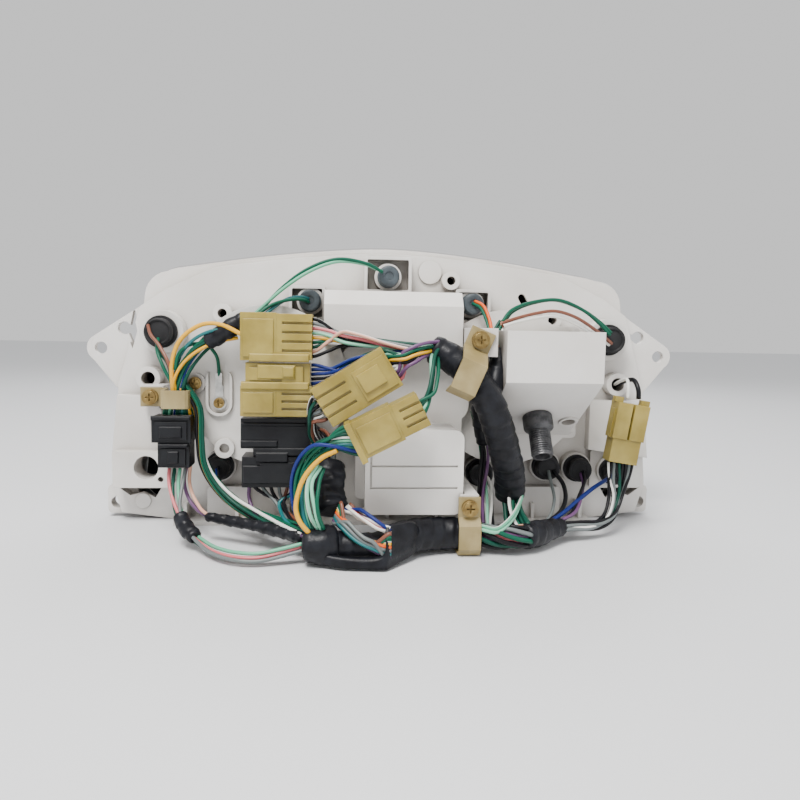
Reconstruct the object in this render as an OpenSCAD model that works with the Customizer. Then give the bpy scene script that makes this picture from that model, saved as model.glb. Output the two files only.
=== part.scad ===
// Motorcycle instrument cluster with its rear wiring.
// X runs across the cluster, +Y points to the lens and the dials, +Z is up.
// The origin is on the table under the middle, in the plane of the ears' rear faces.
// All sizes are in millimetres.

/* [Overall] */
// distance between the two upper ear holes
ear_spacing = 344.6; // [300:0.2:380]
// height of the upper ear holes above the table
ear_z = 103; // [80:1:120]
// distance between the two lower tab holes
tab_spacing = 328.4; // [280:0.2:360]
// height of the lower tab holes above the table
tab_z = 9; // [6:0.5:20]
// radius of the fixing holes in the ears and the tabs
fix_hole_r = 3.6; // [2.5:0.1:5]
// highest point of the clear lens
lens_apex = 171.3; // [150:0.1:190]
// half width of the lens at its shoulders
lens_half_top = 153.5; // [130:0.5:165]
// half width of the lens at its foot
lens_half_foot = 165.5; // [140:0.5:175]

/* [Depths] */
// rear face of the housing's back plate
plate_y = -5; // [-10:0.5:0]
// front edge of the housing's skirt
skirt_y = 38; // [25:1:50]
// front face of the lens
lens_y = 60; // [45:1:75]
// rear face of the rev counter's pod
tacho_pod_y = -30; // [-40:1:-15]
// rear face of the speedometer's pod
speedo_pod_y = -22; // [-35:1:-15]
// rear face of the speedometer gear cover
gear_cover_y = -75; // [-90:1:-50]
// rear face of the centre cover
centre_cover_y = -45; // [-60:1:-30]
// rear face of the control module's lid
module_y = -72; // [-90:1:-50]
// thickness of the moulded walls
wall = 2.4; // [1.6:0.1:4]

/* [Dials] */
// sideways distance of the two large dials from the middle
dial_x = 70; // [55:1:85]
// height of the two large dials
dial_z = 84; // [70:1:100]
// radius of the two large dials
dial_r = 43; // [35:0.5:48]
// sideways distance of the two small dials from the middle
gauge_x = 132; // [120:1:145]
// height of the two small dials
gauge_z = 60; // [50:1:75]
// radius of the two small dials
gauge_r = 19; // [14:0.5:22]
// rear face of every dial plate
dial_y = 26; // [15:1:32]

/* [Cable drive] */
// sideways place of the speedometer cable nipple
nipple_x = 82.7; // [70:0.1:100]
// radius of the nipple's threaded end
nipple_thread_r = 6.1; // [5:0.1:9]
// radius of the nipple's collar
nipple_collar_r = 8.4; // [6:0.1:12]
// length of the nipple outside the cover
nipple_len = 25; // [15:0.5:35]
// radius of the bore that the cable's inner end enters
socket_r = 4.2; // [3:0.1:5]
// depth of that bore
socket_depth = 12; // [8:0.5:16]
// radius of the drive shaft
drive_r = 2; // [1.5:0.1:3]
// left side of the gear cover
cover_x0 = 56.5; // [50:0.5:65]
// right side of the gear cover
cover_x1 = 108.5; // [100:0.5:115]
// running clearance between a shaft and its bore, on radius
run_gap = 0.05; // [0.02:0.01:0.1]

/* [Harness] */
// number of sides on a swept trunk or lead
tube_sides = 12; // [8:1:12]

/* [Hidden] */
$fn = 48;
eps = 0.01;

white = [0.86, 0.84, 0.81];
clear = [0.80, 0.76, 0.72, 0.5];
black = [0.13, 0.13, 0.14];
rubber = [0.10, 0.10, 0.11];
grey_rubber = [0.24, 0.28, 0.30];
olive = [0.68, 0.62, 0.38];
beige = [0.66, 0.60, 0.42];
brass = [0.62, 0.50, 0.28];
steel = [0.62, 0.62, 0.60];
dark_metal = [0.26, 0.27, 0.28];
dial_black = [0.07, 0.07, 0.08];
orange = [0.90, 0.32, 0.08];
wire_green = [0.05, 0.33, 0.24];

ear_x = ear_spacing / 2;
tab_x = tab_spacing / 2;
ear_round_r = 8.2;
ear_t = 4;

// slanted lower face of the gear cover, and the cable drive that stands square to it
slant_top = [gear_cover_y, 91];
slant_foot = [speedo_pod_y, 56];
slant_dir = [slant_foot[0] - slant_top[0], slant_foot[1] - slant_top[1]];
slant_len = norm(slant_dir);
slant_angle = atan2(-slant_dir[1], slant_dir[0]);
nipple_along = 38.5;
nipple_base = [nipple_x,
               slant_top[0] + nipple_along * slant_dir[0] / slant_len,
               slant_top[1] + nipple_along * slant_dir[1] / slant_len];
gear_r = 6.2;
gear_len = 10;
spindle_r = 2;
drive_up = [0, -slant_dir[1] / slant_len, slant_dir[0] / slant_len];
gear_at = (dial_z - nipple_base[2]) / drive_up[2];
shaft_foot = socket_depth - nipple_len + 0.6;
gear_y = nipple_base[1] + gear_at * drive_up[1];

// counter drums behind the speedometer dial
drum_r = 6.5;
drum_w = 5.6;
drum_pitch = 6.2;
drum_y = 16;
axle_r = 1.5;
odo_z = 66;
trip_z = 108;
odo_x0 = dial_x - 1.5 * drum_pitch;
trip_x0 = dial_x - 0.5 * drum_pitch;

pointer_y = dial_y + 2.4;
pointer_t = 1.2;

// bulb socket places as [x, z]
turn_places = [[-132.8, 113.4], [132.8, 113.4]];
warning_places = [[-2, 148], [-47.5, 133], [48, 133]];
lamp_places = [[-100.5, 34], [56.5, 30.5], [98, 34.6], [118, 33.4], [141, 31.6]];

// connector blocks
block_t = 15;

// harness routes, in round numbers
trunk_upper_route = [
    [18, -66, 108], [26, -68, 104.5], [36, -71, 97], [42, -73, 89.5], [47.5, -74, 81.5],
    [52.5, -72, 71], [59, -65, 54], [64, -57, 41], [67, -49, 25]];
trunk_upper_r = [7.6, 8, 8.2, 8.2, 8.4, 8.6, 8.4, 8.4, 8.4];
trunk_lower_route = [
    [-46, -87, 9.8], [-37, -88, 10], [-26, -90, 10], [-11, -89.5, 10], [0, -82.5, 10], [9, -75, 10],
    [24, -69.8, 10], [35, -69.5, 10], [43, -70, 10], [55, -74, 9.5], [69, -73.5, 9],
    [80, -65, 8.5], [92, -56.5, 8.5], [106, -50.5, 8.5], [119, -48.5, 9.5], [126, -44.6, 15]];
trunk_lower_r = [9, 9.4, 9.4, 9, 8.6, 8.4, 8.3, 8.2, 8, 7.6, 7.2, 6.4, 5.6, 5, 4.6, 4.4];
trunk_stub_route = [[-33, -60, 46], [-34, -64, 40], [-34, -68, 34], [-33, -73, 28], [-32, -77, 24]];
trunk_stub_r = [7.6, 8, 7.6, 8, 7.4];
left_loop_route = [
    [-119, -38, 38], [-119, -42, 29], [-116, -50, 19], [-109, -60, 10], [-97, -73, 5],
    [-87, -83, 4.2], [-77, -88.5, 4.2], [-68, -89.5, 4.4], [-59, -88.5, 6], [-45.5, -87, 9.4]];
top_arc_route = [
    [-84, -36, 116], [-74, -34, 127], [-62, -33, 139], [-48, -32, 149], [-32, -31, 155],
    [-16, -29, 154], [-6, -27, 150]];
right_arc_route = [
    [60, -48, 122], [66, -44, 129], [78, -40, 134], [94, -36, 136], [110, -32, 131],
    [122, -28, 124], [130, -27, 117]];
left_bundle_route = [
    [-86, -42, 115], [-97, -41, 112], [-108, -40, 104], [-115, -39, 94], [-118, -38, 82],
    [-119, -38, 68]];

// ---------------------------------------------------------------- helpers

// prism of a flat X-Z outline between two depths
module depth(y0, y1) {
    translate([0, y1, 0])
        rotate([90, 0, 0])
            linear_extrude(y1 - y0)
                children();
}

// round bar along Y
module bar(x, z, y0, y1, r) {
    translate([x, y0, z])
        rotate([-90, 0, 0])
            cylinder(h = y1 - y0, r = r);
}

// both a shape and its mirror image across the middle
module both_sides() {
    children();
    mirror([1, 0, 0])
        children();
}

// flat rectangle with round corners
module soft_rect(x0, z0, x1, z1, r) {
    translate([x0 + r, z0])
        square([x1 - x0 - 2 * r, z1 - z0]);
    translate([x0, z0 + r])
        square([x1 - x0, z1 - z0 - 2 * r]);
    for (x = [x0 + r, x1 - r], z = [z0 + r, z1 - r])
        translate([x, z])
            circle(r = r);
}

module block(x0, y0, z0, x1, y1, z1) {
    translate([x0, y0, z0])
        cube([x1 - x0, y1 - y0, z1 - z0]);
}

// the roof line of the cluster: nearly straight slopes that meet in a round crown
function roof(x, apex) = apex - 0.06 * (sqrt(x * x + 400) - 20) - 0.00048 * x * x;

// half of the front outline, inset by d, with the foot at height z0
function half_outline(d, z0) =
    let (top = lens_half_top - d,
         foot = lens_half_foot - d,
         shoulder = 22 - d,
         toe = 14,
         apex = lens_apex - d,
         lean = atan((foot - top) / 120),
         sx = top - shoulder,
         sz = roof(sx, apex) - shoulder)
    concat(
        [for (x = [0:sx / 12:sx - 1]) [x, roof(x, apex)]],
        [for (a = [80:-(80 - lean) / 6:lean]) [sx + shoulder * cos(a), sz + shoulder * sin(a)]],
        [for (a = [lean:-(90 + lean) / 7:-90]) [foot - toe + toe * cos(a), z0 + toe + toe * sin(a)]]);

function mirrored(half) =
    concat(half, [for (i = [len(half) - 1:-1:1]) [-half[i][0], half[i][1]]]);

module front_outline(d, z0) {
    polygon(mirrored(half_outline(d, z0)));
}

function unit(v) = v / norm(v);

// tube through a route's points, one ring at each point, the radius given for each ring
module swept_tube(route, radii, sides, side_ref) {
    n = len(route);
    tangents = [for (i = [0:n - 1]) unit(route[min(i + 1, n - 1)] - route[max(i - 1, 0)])];
    rings = [for (i = [0:n - 1])
        let (u = unit(cross(tangents[i], side_ref)), v = cross(tangents[i], u))
        for (j = [0:sides - 1])
            let (a = 360 * j / sides)
            route[i] + radii[i] * (cos(a) * u + sin(a) * v)];
    walls = [for (i = [0:n - 2], j = [0:sides - 1], half = [0, 1])
        let (a = i * sides + j,
             b = i * sides + (j + 1) % sides,
             c = a + sides,
             d = b + sides)
        half == 0 ? [a, c, b] : [b, c, d]];
    first = [for (j = [0:sides - 1]) j];
    last = [for (j = [sides - 1:-1:0]) (n - 1) * sides + j];
    polyhedron(points = rings, faces = concat(walls, [first, last]), convexity = 6);
}

function same(route, r) = [for (p = route) r];

// ---------------------------------------------------------------- case

// back plate with its sloping sides; the ears and tabs stand out beyond it
module plate_outline() {
    polygon(mirrored(concat(
        [for (x = [0:8:104]) [x, roof(x, 162.5)]],
        [[114, 147.5], [133, 138.5], [148, 128], [161, 82], [161.4, 64], [165, 22], [160, 4],
         [130, 0]])));
}

// hollow behind the back plate, inside both the plate and the skirt
module plate_hollow() {
    polygon(mirrored(concat(
        [for (x = [0:8:104]) [x, roof(x, 160)]],
        [[112, 145], [131, 136.5], [141, 128], [145, 118], [148, 82], [150.5, 64], [153.5, 24],
         [150, 6], [130, wall]])));
}

module ear_outline() {
    polygon([[130, 141], [ear_x + 4.3, ear_z + 7], [ear_x + 7.3, ear_z - 3.5], [163, 79], [130, 79]]);
    translate([ear_x, ear_z])
        circle(r = ear_round_r);
}

module tab_outline() {
    soft_rect(133, 2.2, tab_x + 5.4, 20, 3);
}

// round pod for a large dial
module pod(x, y0, r) {
    bar(x, dial_z, y0, plate_y + 1, r);
}

// square box round a warning lamp's socket, open to the rear
module lamp_pocket(x0, z0, x1, z1) {
    depth(-15, plate_y + 1)
        difference() {
            soft_rect(x0, z0, x1, z1, 1.5);
            soft_rect(x0 + 1.8, z0 + 1.8, x1 - 1.8, z1 - 1.8, 0.8);
        }
}

module housing_outside() {
    depth(2, skirt_y - 6)
        front_outline(6.5, 0);
    depth(skirt_y - 7, skirt_y)
        front_outline(2, 0);
    depth(plate_y, 3)
        plate_outline();
    both_sides() {
        depth(0, ear_t)
            ear_outline();
        depth(0, ear_t + 4)
            tab_outline();
    }
    // pods of the two large dials, and the seat of the gear cover
    pod(-dial_x, tacho_pod_y, 46);
    pod(dial_x, speedo_pod_y, 46);
    depth(speedo_pod_y, plate_y + 1)
        soft_rect(52, 54, 113, 121, 3);
    // pods of the two small gauges
    both_sides()
        depth(-12, plate_y + 1)
            polygon([[125, 45], [163, 40], [159.5, 76], [125, 76]]);
    // middle pod behind the warning lamps, which the module hangs on
    depth(-28, plate_y + 1) {
        soft_rect(-30, 64, 46, 108, 10);
        soft_rect(-20, 18, 42, 80, 3);
    }
    // turn lamp towers
    for (p = turn_places)
        bar(p[0], p[1], -16, plate_y + 1, 12.6);
    // warning lamp towers and their pockets
    for (p = warning_places)
        bar(p[0], p[1], -14, plate_y + 1, 8);
    lamp_pocket(-16, 138.8, 12, 160);
    lamp_pocket(-60, 122, -38.8, 142);
    lamp_pocket(38.8, 122, 60, 142);
    // lower lamp towers
    for (p = lamp_places)
        bar(p[0], p[1], -11, plate_y + 1, 9.4);
    // lower blocks at the two ends
    depth(-18, plate_y + 1)
        soft_rect(-161, 22, -128, 43.6, 1.5);
    depth(-8, plate_y + 1)
        soft_rect(128, 20, 161, 44, 1.5);
    // panels beside the foot
    both_sides()
        depth(-12, plate_y + 1)
            soft_rect(84, 2, 108, 21.5, 2);
    // sill that the cluster stands on
    block(-126, -20, 0, 126, 3, 2.5);
    for (x = [-120:30:120])
        block(x - 1, -16, 1, x + 1, plate_y + 1, 12);
    // bosses
    both_sides()
        bar(98.8, 124.8, -13, plate_y + 1, 5.6);
    bar(36, 147, -13, plate_y + 1, 5.4);
    bar(-94.3, 48.2, tacho_pod_y - 2.5, tacho_pod_y + 8, 5.6);
    bar(-110.3, 85.1, tacho_pod_y - 1.2, tacho_pod_y + 4, 5.6);
    both_sides()
        bar(141.2, 86, -14, plate_y + 1, 7);
    bar(24, 152.2, plate_y - 1.4, plate_y + 1, 7);
    bar(-137.5, 66, -16, -11, 4.6);
    both_sides()
        bar(147.2, 11.2, -6, 4, 4.6);
    // rim round the earth terminal's recess
    depth(tacho_pod_y - 2.2, tacho_pod_y + 1)
        difference() {
            soft_rect(-104.6, 66.6, -89.8, 94, 7);
            soft_rect(-103, 68.2, -91.4, 96, 5.6);
        }
    // post of the upper clamp, and of the left clamp
    block(39, -69, 104, 53, -21, 119);
    block(-142, -27, 71, -129, -11, 83);
    // post of the lower clamp
    block(37, -73, 20.5, 44, -27, 32);
    block(34, -75, 20.5, 44, -72.8, 32);
}

module housing_inside() {
    depth(2 + wall, skirt_y + 1)
        front_outline(6.5 + wall, wall);
    depth(plate_y + wall, 2 + wall + 1)
        plate_hollow();
    bar(-dial_x, dial_z, tacho_pod_y + wall, plate_y + wall + 1, 46 - wall);
    bar(dial_x, dial_z, speedo_pod_y + wall, plate_y + wall + 1, 46 - wall);
    depth(speedo_pod_y + wall, plate_y + wall + 1)
        soft_rect(52 + wall, 54 + wall, 113 - wall, 121 - wall, 1.5);
    depth(-28 + wall, plate_y + wall + 1)
        soft_rect(-30 + wall, 64 + wall, 46 - wall, 108 - wall, 7);
    both_sides()
        depth(-12 + wall, plate_y + wall + 1)
            polygon([[127.4, 47], [158, 44], [156, 73.6], [127.4, 73.6]]);
}

module housing_holes() {
    both_sides() {
        bar(ear_x, ear_z, -1, ear_t + 1, fix_hole_r);
        bar(tab_x, tab_z, -1, ear_t + 6, fix_hole_r);
        // keyhole beside each ear hole
        bar(158.5, 115, -1, ear_t + 1, 3.9);
        block(149.5, -1, 113, 158.5, ear_t + 1, 117);
        // gap between the tab and the block above it
        depth(-30, 1.5)
            polygon([[136, 20], [162.5, 20], [155, 14.5], [147, 16.5], [140, 13]]);
        bar(98.8, 124.8, -14, 0, 2.7);
    }
    // gap beside the left ear's keyhole
    depth(-7, 24)
        polygon([[-152.6, 128], [-149.6, 113.5], [-152.4, 103], [-156, 112], [-155, 117]]);
    for (p = turn_places)
        bar(p[0], p[1], -17, 0, 7.6);
    for (p = warning_places)
        bar(p[0], p[1], -15, 0, 5);
    for (p = lamp_places)
        bar(p[0], p[1], -12, 0, 6);
    bar(-141.8, 33.9, -19, 0, 7);
    bar(-133.5, 27, -19, -13, 1.6);
    bar(36, 147, -14, 0, 2.6);
    bar(-94.3, 48.2, tacho_pod_y - 3, tacho_pod_y + 1, 2.8);
    bar(-110.3, 85.1, tacho_pod_y - 2, tacho_pod_y + 7, 1.9);
    bar(-97.2, 74.1, tacho_pod_y - 1, tacho_pod_y + 7, 1.7);
    both_sides()
        bar(141.2, 86, -15, 0, 4);
    // slanted slot in the upper right of the back plate
    translate([82.3, 0, 136.5])
        rotate([0, 60, 0])
            translate([-82.3, 0, -136.5])
                depth(-7, 0)
                    soft_rect(78, 134.3, 86.6, 138.7, 2.1);
    // passage for the speedometer's drive
    depth(speedo_pod_y - 1, speedo_pod_y + wall + 1)
        soft_rect(58, 72, 96, 102, 3);
    // recess and screw hole of the left clamp, screw holes of the other two
    bar(-135.7, 76.8, -28, -16, 1.9);
    bar(43.2, 112.8, -70, -56, 1.9);
    bar(39, 25.6, -76, -62, 1.9);
}

module rear_housing() {
    color(white)
        difference() {
            housing_outside();
            housing_inside();
            housing_holes();
        }
}

// clear lens: flange, side wall and front face in one moulding
module lens_cover() {
    color(clear)
        difference() {
            union() {
                depth(skirt_y + 2, skirt_y + 5)
                    front_outline(0, 0.5);
                depth(skirt_y + 4, lens_y)
                    front_outline(4, 3.5);
            }
            depth(skirt_y + 1, lens_y - 2.2)
                front_outline(6.2, 5.7);
            bar(0, 24, lens_y - 4, lens_y + 1, 4.4);
        }
}

module lens_seal() {
    color(rubber)
        depth(skirt_y, skirt_y + 2)
            difference() {
                front_outline(2.6, 0.8);
                front_outline(7.6, 5.8);
            }
}

// black mask behind the lens, with a deep rim round each dial
module dial_rim(x, z, r) {
    bar(x, z, dial_y + 1.4, dial_y + 9, r);
}

module dial_window(x, z, r) {
    bar(x, z, dial_y, dial_y + 12, r);
}

module front_bezel() {
    color(black)
        difference() {
            union() {
                depth(dial_y + 7, dial_y + 9)
                    front_outline(9.4, 2.8);
                for (s = [-1, 1]) {
                    dial_rim(s * dial_x, dial_z, dial_r);
                    dial_rim(s * gauge_x, gauge_z, gauge_r);
                }
            }
            for (s = [-1, 1]) {
                dial_window(s * dial_x, dial_z, dial_r - 1.6);
                dial_window(s * gauge_x, gauge_z, gauge_r - 1.6);
            }
            for (p = concat(turn_places, warning_places))
                bar(p[0], p[1], dial_y, dial_y + 12, 5.5);
            bar(0, 24, dial_y, dial_y + 12, 3.4);
        }
}

// coloured lamp windows behind the mask
module warning_panel() {
    color([0.15, 0.30, 0.20])
        for (p = concat(turn_places, warning_places))
            difference() {
                bar(p[0], p[1], dial_y - 16, dial_y + 7, 7.6);
                bar(p[0], p[1], dial_y - 17, dial_y + 5.4, 6.2);
            }
}

// ---------------------------------------------------------------- dials and pointers

module round_dial(x, z, r, hole_r) {
    color(dial_black)
        difference() {
            bar(x, z, dial_y, dial_y + 1.2, r);
            bar(x, z, dial_y - 1, dial_y + 2, hole_r);
            children();
        }
}

module speedo_dial() {
    round_dial(dial_x, dial_z, dial_r - 0.2, 3.2) {
        block(dial_x - 2 * drum_pitch, dial_y - 1, odo_z - 3.2, dial_x + 2 * drum_pitch, dial_y + 2,
              odo_z + 3.2);
        block(dial_x - drum_pitch, dial_y - 1, trip_z - 3.2, dial_x + drum_pitch, dial_y + 2,
              trip_z + 3.2);
    }
}

module tacho_dial() {
    round_dial(-dial_x, dial_z, dial_r - 0.2, 3.2);
}

module temp_dial() {
    round_dial(-gauge_x, gauge_z, gauge_r - 0.2, 2.4);
}

module fuel_dial() {
    round_dial(gauge_x, gauge_z, gauge_r - 0.2, 2.4);
}

// hub, tapering blade and short tail; the blade points along start_angle from straight up
module pointer(x, z, blade, hub_r, start_angle) {
    color(orange)
        translate([x, 0, z])
            rotate([0, start_angle, 0]) {
                depth(pointer_y, pointer_y + pointer_t)
                    polygon([[-1.5, -0.28 * blade], [1.5, -0.28 * blade], [1.6, 0], [0.5, blade],
                             [-0.5, blade], [-1.6, 0]]);
                bar(0, 0, pointer_y - 0.6, pointer_y + pointer_t + 1.4, hub_r);
                bar(0, 0, dial_y - 6, pointer_y, 1.2);
            }
}

module speedo_pointer() {
    pointer(dial_x, dial_z, 33, 6.5, 125);
}

module tacho_pointer() {
    pointer(-dial_x, dial_z, 33, 6.5, 120);
}

module temp_pointer() {
    pointer(-gauge_x, gauge_z, 13, 3.6, 45);
}

module fuel_pointer() {
    pointer(gauge_x, gauge_z, 13, 3.6, 45);
}

// ---------------------------------------------------------------- movements

// frame of the speedometer: back plate, cheeks that carry the drum axles, and the cup
module speedo_movement() {
    color(steel)
        difference() {
            union() {
                depth(-12, -9)
                    soft_rect(dial_x - 29, 52, dial_x + 29, 116, 4);
                for (s = [-1, 1], z = [56, 112])
                    bar(dial_x + s * 24, z, -9, dial_y, 2.6);
                for (s = [-1, 1]) {
                    block(dial_x + s * 16 - 1, -9, odo_z - 5, dial_x + s * 16 + 1, drum_y + 4, odo_z + 5);
                    block(dial_x + s * 10 - 1, -9, trip_z - 5, dial_x + s * 10 + 1, drum_y + 4, trip_z + 5);
                }
                translate([dial_x - 16, drum_y, odo_z])
                    rotate([0, 90, 0])
                        cylinder(h = 32, r = axle_r);
                translate([dial_x - 10, drum_y, trip_z])
                    rotate([0, 90, 0])
                        cylinder(h = 20, r = axle_r);
                // bush of the magnet spindle, and the bridge that carries the pointer's staff
                bar(dial_x, dial_z, -19.4, -9, 4.5);
                block(dial_x - 26, 17, dial_z - 2.5, dial_x + 26, 19, dial_z + 2.5);
                bar(dial_x, dial_z, 16.6, 21, 3.2);
                for (s = [-1, 1])
                    block(dial_x + s * 25 - 1, -9, dial_z - 2.5, dial_x + s * 25 + 1, 19, dial_z + 2.5);
            }
            bar(dial_x, dial_z, -20, -8, spindle_r + run_gap);
            bar(dial_x, dial_z, 16, dial_y, 1.25);
        }
}

module gauge_can(x, z, r, y0, y1, staff_r) {
    color(steel)
        difference() {
            union() {
                bar(x, z, y0, y1, r);
                bar(x, z, y1 - eps, dial_y - 1.5, 3);
                for (s = [-1, 1])
                    bar(x + s * r * 0.78, z, y1 - eps, dial_y, 1.6);
            }
            bar(x, z, dial_y - 9, dial_y, staff_r);
        }
}

module tacho_movement() {
    gauge_can(-dial_x, dial_z, 25, tacho_pod_y + wall, 14, 1.25);
}

module temp_movement() {
    gauge_can(-gauge_x, gauge_z, 12.4, plate_y + wall, 14, 1.25);
}

module fuel_movement() {
    gauge_can(gauge_x, gauge_z, 12.4, plate_y + wall, 14, 1.25);
}

// turned so that local +Z runs up the cable drive's axis, out of the nipple's base
module on_drive_axis() {
    translate(nipple_base)
        rotate([-slant_angle, 0, 0])
            children();
}

module drive_shaft() {
    color(steel)
        on_drive_axis()
            difference() {
                union() {
                    translate([0, 0, shaft_foot])
                        cylinder(h = gear_at + 7 - shaft_foot, r = drive_r);
                    translate([0, 0, gear_at - gear_len / 2])
                        cylinder(h = gear_len, r = gear_r);
                    translate([0, 0, 8.4])
                        cylinder(h = 2, r = 3.4);
                }
                translate([-1.35, -1.35, shaft_foot - 1])
                    cube([2.7, 2.7, 9]);
            }
}

// spindle with the follower gear at the rear and the magnet at the front
module magnet_spindle() {
    color(steel) {
        bar(dial_x, dial_z, gear_y - 9, -6, spindle_r);
        bar(dial_x, dial_z, gear_y - 5, gear_y + 5, gear_r);
        bar(dial_x, dial_z, -6, 8, 11);
    }
}

module drum(x0, z) {
    color([0.92, 0.92, 0.90])
        translate([x0 - drum_w / 2, drum_y, z])
            rotate([0, 90, 0])
                difference() {
                    cylinder(h = drum_w, r = drum_r);
                    translate([0, 0, -1])
                        cylinder(h = drum_w + 2, r = axle_r + run_gap);
                    for (a = [18:36:342])
                        rotate([0, 0, a])
                            translate([3.9, 0, drum_w - 0.8])
                                cylinder(h = 2, r = 0.6);
                }
}

module odo_drum_1() {
    drum(odo_x0, odo_z);
}

module odo_drum_2() {
    drum(odo_x0 + drum_pitch, odo_z);
}

module odo_drum_3() {
    drum(odo_x0 + 2 * drum_pitch, odo_z);
}

module odo_drum_4() {
    drum(odo_x0 + 3 * drum_pitch, odo_z);
}

module trip_drum_1() {
    drum(trip_x0, trip_z);
}

module trip_drum_2() {
    drum(trip_x0 + drum_pitch, trip_z);
}

// push button through the mask and the lens; it travels inwards
module reset_knob() {
    color(black) {
        bar(0, 24, dial_y + 2, lens_y + 5, 3);
        bar(0, 24, lens_y + 3.6, lens_y + 11, 5.6);
        bar(0, 24, dial_y + 4, dial_y + 5.4, 4.6);
    }
}

// ---------------------------------------------------------------- rear fittings

module cable_nipple() {
    color(dark_metal)
        on_drive_axis()
            difference() {
                union() {
                    translate([0, 0, -nipple_len])
                        cylinder(h = nipple_len, r = nipple_thread_r);
                    translate([0, 0, -9])
                        cylinder(h = 9, r = nipple_collar_r);
                    cylinder(h = 8, r = 5.5);
                }
                translate([0, 0, -nipple_len - 1])
                    cylinder(h = socket_depth + 1, r = socket_r);
                translate([0, 0, socket_depth - nipple_len - 1])
                    cylinder(h = 24, r = drive_r + run_gap);
            }
}

module gear_cover_profile(d) {
    // inset of the slanted face, measured square to it
    s = d * slant_len / slant_dir[0];
    x0 = slant_top[0] + d;
    z0 = slant_top[1] + s - (d * slant_dir[1] / slant_dir[0]) * -1;
    polygon([[speedo_pod_y, 118 - d], [x0, 118 - d], [x0, z0], [speedo_pod_y, slant_foot[1] + s]]);
}

module gear_cover_prism(x0, x1, d) {
    translate([x0, 0, 0])
        rotate([90, 0, 90])
            linear_extrude(x1 - x0)
                gear_cover_profile(d);
}

// wedge box over the speedometer's gears, open towards the housing
module speedo_gear_cover() {
    well_along = 44.5;
    well = [102.6, slant_top[0] + well_along * slant_dir[0] / slant_len,
            slant_top[1] + well_along * slant_dir[1] / slant_len];
    color(white)
        difference() {
            union() {
                difference() {
                    gear_cover_prism(cover_x0, cover_x1, 0);
                    gear_cover_prism(cover_x0 + wall, cover_x1 - wall, wall);
                }
                on_drive_axis()
                    cylinder(h = 5, r = 9.5);
                translate(well)
                    rotate([-slant_angle, 0, 0])
                        translate([0, 0, -1])
                            cylinder(h = 8, r = 5.6);
                for (z = [62, 111])
                    block(cover_x1 - eps, speedo_pod_y - 3, z - 4, cover_x1 + 3, speedo_pod_y, z + 4);
            }
            on_drive_axis()
                translate([0, 0, -1])
                    cylinder(h = 8, r = 5.5);
            translate(well)
                rotate([-slant_angle, 0, 0])
                    translate([0, 0, -2])
                        cylinder(h = 7, r = 3.9);
        }
}

// box over the warning lamp board, its upper edge bevelled
module centre_cover() {
    color(white)
        difference() {
            translate([-38.5, 0, 0])
                rotate([90, 0, 90])
                    linear_extrude(77)
                        polygon([[-30.2, 108.4], [centre_cover_y, 108.4], [centre_cover_y, 130.5],
                                 [centre_cover_y + 7, 138.5], [plate_y, 138.5], [plate_y, 123],
                                 [-30.2, 123]]);
            block(-36, centre_cover_y + wall, 110.8, 36, -31, 128);
            block(-36, centre_cover_y + 6, 120, 36, plate_y + 1, 134);
        }
}

// control module: tray, with the lid clipped on from behind
module module_box() {
    color(white)
        difference() {
            union() {
                depth(-66, -40)
                    soft_rect(-15, 21.2, 35.5, 65, 4);
                for (x = [-12, 33])
                    block(x - 3, -46, 18.4, x + 3, -42, 22);
                for (x = [-8, 28])
                    bar(x, 43, -40, -28, 4);
            }
            depth(-67, -42)
                soft_rect(-12.6, 23.6, 33.1, 62.6, 2);
        }
}

module module_lid() {
    color(white)
        difference() {
            union() {
                depth(module_y, -66)
                    soft_rect(-15.6, 20.6, 36.1, 65.6, 5);
                block(-16.4, module_y + 1, 18.8, -11, -66, 23);
            }
            depth(-69.5, -65)
                soft_rect(-13.2, 23, 33.7, 63.2, 3);
            for (z = [34.5, 46])
                block(-12, module_y - 1, z, 33, module_y + 0.8, z + 0.9);
            block(-12.9, module_y - 1, 34.5, -12, module_y + 0.8, 62);
        }
}

// pan head screw along Y with a cross recess; its head faces the rear
module pan_screw(x, z, y, head_r, shank_r, shank) {
    difference() {
        union() {
            bar(x, z, y - 2.4, y, head_r);
            bar(x, z, y - 3, y - 2.3, head_r - 0.9);
            bar(x, z, y, y + shank, shank_r);
        }
        block(x - 2.2, y - 3.5, z - 0.4, x + 2.2, y - 1.4, z + 0.4);
        block(x - 0.4, y - 3.5, z - 2.2, x + 0.4, y - 1.4, z + 2.2);
    }
}

module screws() {
    color(brass) {
        pan_screw(43.2, 112.8, -70.6, 4.6, 1.8, 12);
        pan_screw(39, 25.6, -76.6, 4.4, 1.8, 12);
        pan_screw(-135.7, 76.8, -28.6, 4.4, 1.8, 10);
        pan_screw(-97.2, 74.1, tacho_pod_y - 0.8, 3, 1.6, 6);
        pan_screw(-110.3, 85.1, tacho_pod_y - 1.2, 3.6, 1.8, 7);
    }
}

// crimped ring on the earth lead, held by its screw
module earth_terminal() {
    color(steel)
        difference() {
            union() {
                bar(-97.2, 74.1, tacho_pod_y - 0.8, tacho_pod_y, 4);
                block(-99.4, tacho_pod_y - 0.8, 76, -95, tacho_pod_y, 84);
                block(-99, tacho_pod_y - 3.2, 84, -95.4, tacho_pod_y, 91);
            }
            bar(-97.2, 74.1, tacho_pod_y - 1, tacho_pod_y + 1, 1.7);
        }
}

// strap over the upper trunk: flat at the screw, then down over the trunk to a hooked end
module strap_run(width, thick, profile) {
    translate([-width / 2, 0, 0])
        rotate([90, 0, 90])
            linear_extrude(width)
                polygon(profile);
}

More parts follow.
